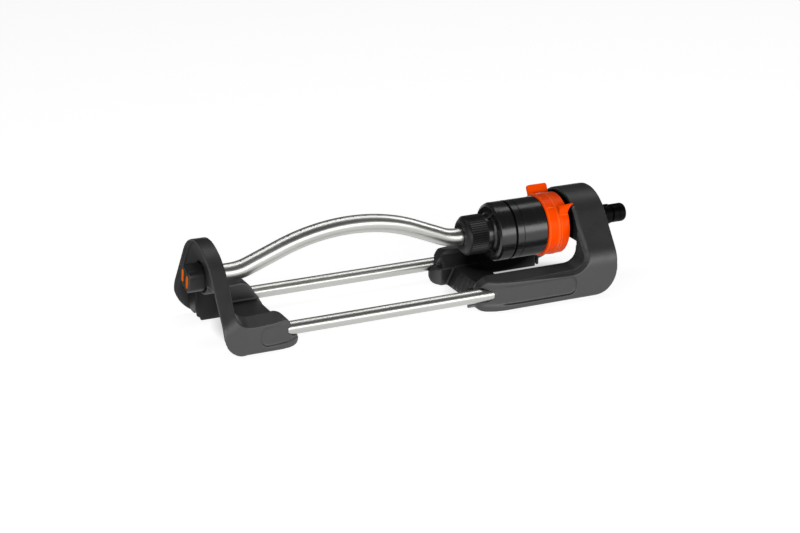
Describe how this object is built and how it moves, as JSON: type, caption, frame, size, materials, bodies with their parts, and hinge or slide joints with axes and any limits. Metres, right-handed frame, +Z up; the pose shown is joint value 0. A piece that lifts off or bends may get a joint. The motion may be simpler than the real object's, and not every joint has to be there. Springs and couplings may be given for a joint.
{
  "type": "oscillating lawn sprinkler",
  "caption": "Oscillating lawn sprinkler: two moulded end frames on steel tubes, an arched spray tube swung by a water turbine, orange range rings and a hose inlet.",
  "frame": {"origin": "middle of the footprint, on the ground", "axes": "+X along the sprinkler towards the hose inlet, +Y to the far side of the picture, +Z up"},
  "size_m": [0.43, 0.1314, 0.0927],
  "materials": {
    "frame_plastic": "satin dark grey",
    "motor_plastic": "polished black",
    "nut_plastic": "matte black",
    "ring_plastic": "glossy orange",
    "tube_steel": "polished",
    "pin_steel": "drawn",
    "gear_plastic": "moulded white",
    "bearing_plastic": "moulded dark grey",
    "seal_rubber": "matte"
  },
  "bodies": {
    "frame": {"left_bracket": "frame_plastic", "right_frame": "frame_plastic", "base_tube_front": "tube_steel", "base_tube_back": "tube_steel", "bearing_bush": "bearing_plastic", "inlet_pipe": "motor_plastic", "ring_carrier": "motor_plastic", "sun_gear": "gear_plastic", "hose_nipple": "nut_plastic", "nipple_seal": "seal_rubber", "inlet_filter": "gear_plastic"},
    "spray": {"spray_tube": "tube_steel", "tube_ferrule": "pin_steel", "tube_seal": "seal_rubber", "union_nut": "nut_plastic", "motor_cap": "motor_plastic", "cap_seal": "seal_rubber", "motor_housing": "motor_plastic", "jet_plate": "bearing_plastic", "gear_axles": "pin_steel", "rotary_seal": "seal_rubber", "thrust_washers": "bearing_plastic", "lever_seal": "seal_rubber", "toggle_spring": "pin_steel"},
    "turbine": {"turbine_wheel": "gear_plastic", "turbine_shaft": "pin_steel"},
    "first_gear": {"first_compound_gear": "gear_plastic"},
    "second_gear": {"second_compound_gear": "gear_plastic"},
    "reverser": {"reversing_flap": "bearing_plastic", "trip_lever": "bearing_plastic"},
    "ring_left": {"stop_ring_left": "ring_plastic"},
    "ring_right": {"stop_ring_right": "ring_plastic"},
    "plug": {"end_plug": "nut_plastic", "plug_stem": "bearing_plastic", "cleaning_tool": "ring_plastic", "plug_seal": "seal_rubber"}
  },
  "joints": [
    {"name": "spray_swing", "type": "hinge", "parent": "frame", "child": "spray", "pos_m": [0, 0, 0.0555], "axis": [1, 0, 0], "range_deg": [-60, 30]},
    {"name": "second_gear_spin", "type": "hinge", "parent": "spray", "child": "second_gear", "pos_m": [0, -0.00742, 0.06292], "axis": [1, 0, 0], "range_deg": [-152, 77]},
    {"name": "first_gear_spin", "type": "hinge", "parent": "spray", "child": "first_gear", "pos_m": [0, 0.00272, 0.06564], "axis": [1, 0, 0], "range_deg": [-190, 378]},
    {"name": "turbine_spin", "type": "hinge", "parent": "spray", "child": "turbine", "pos_m": [0, 0, 0.0555], "axis": [1, 0, 0], "range_deg": [-942, 472]},
    {"name": "reversing_flip", "type": "hinge", "parent": "spray", "child": "reverser", "pos_m": [0, 0.00427, 0.03956], "axis": [1, 0, 0], "range_deg": [-12, 12]},
    {"name": "stop_ring_left_turn", "type": "hinge", "parent": "frame", "child": "ring_left", "pos_m": [0, 0, 0.0555], "axis": [1, 0, 0], "range_deg": [-4, 30]},
    {"name": "stop_ring_right_turn", "type": "hinge", "parent": "frame", "child": "ring_right", "pos_m": [0, 0, 0.0555], "axis": [1, 0, 0], "range_deg": [-30, 4]},
    {"name": "plug_unscrew", "type": "hinge", "parent": "spray", "child": "plug", "pos_m": [0, 0, 0.0555], "axis": [1, 0, 0], "continuous": true}
  ],
  "couplings": [
    {"joint": "second_gear_spin", "follows": "spray_swing", "ratio": 2.5},
    {"joint": "first_gear_spin", "follows": "spray_swing", "ratio": -6.25},
    {"joint": "turbine_spin", "follows": "spray_swing", "ratio": 15.625}
  ]
}
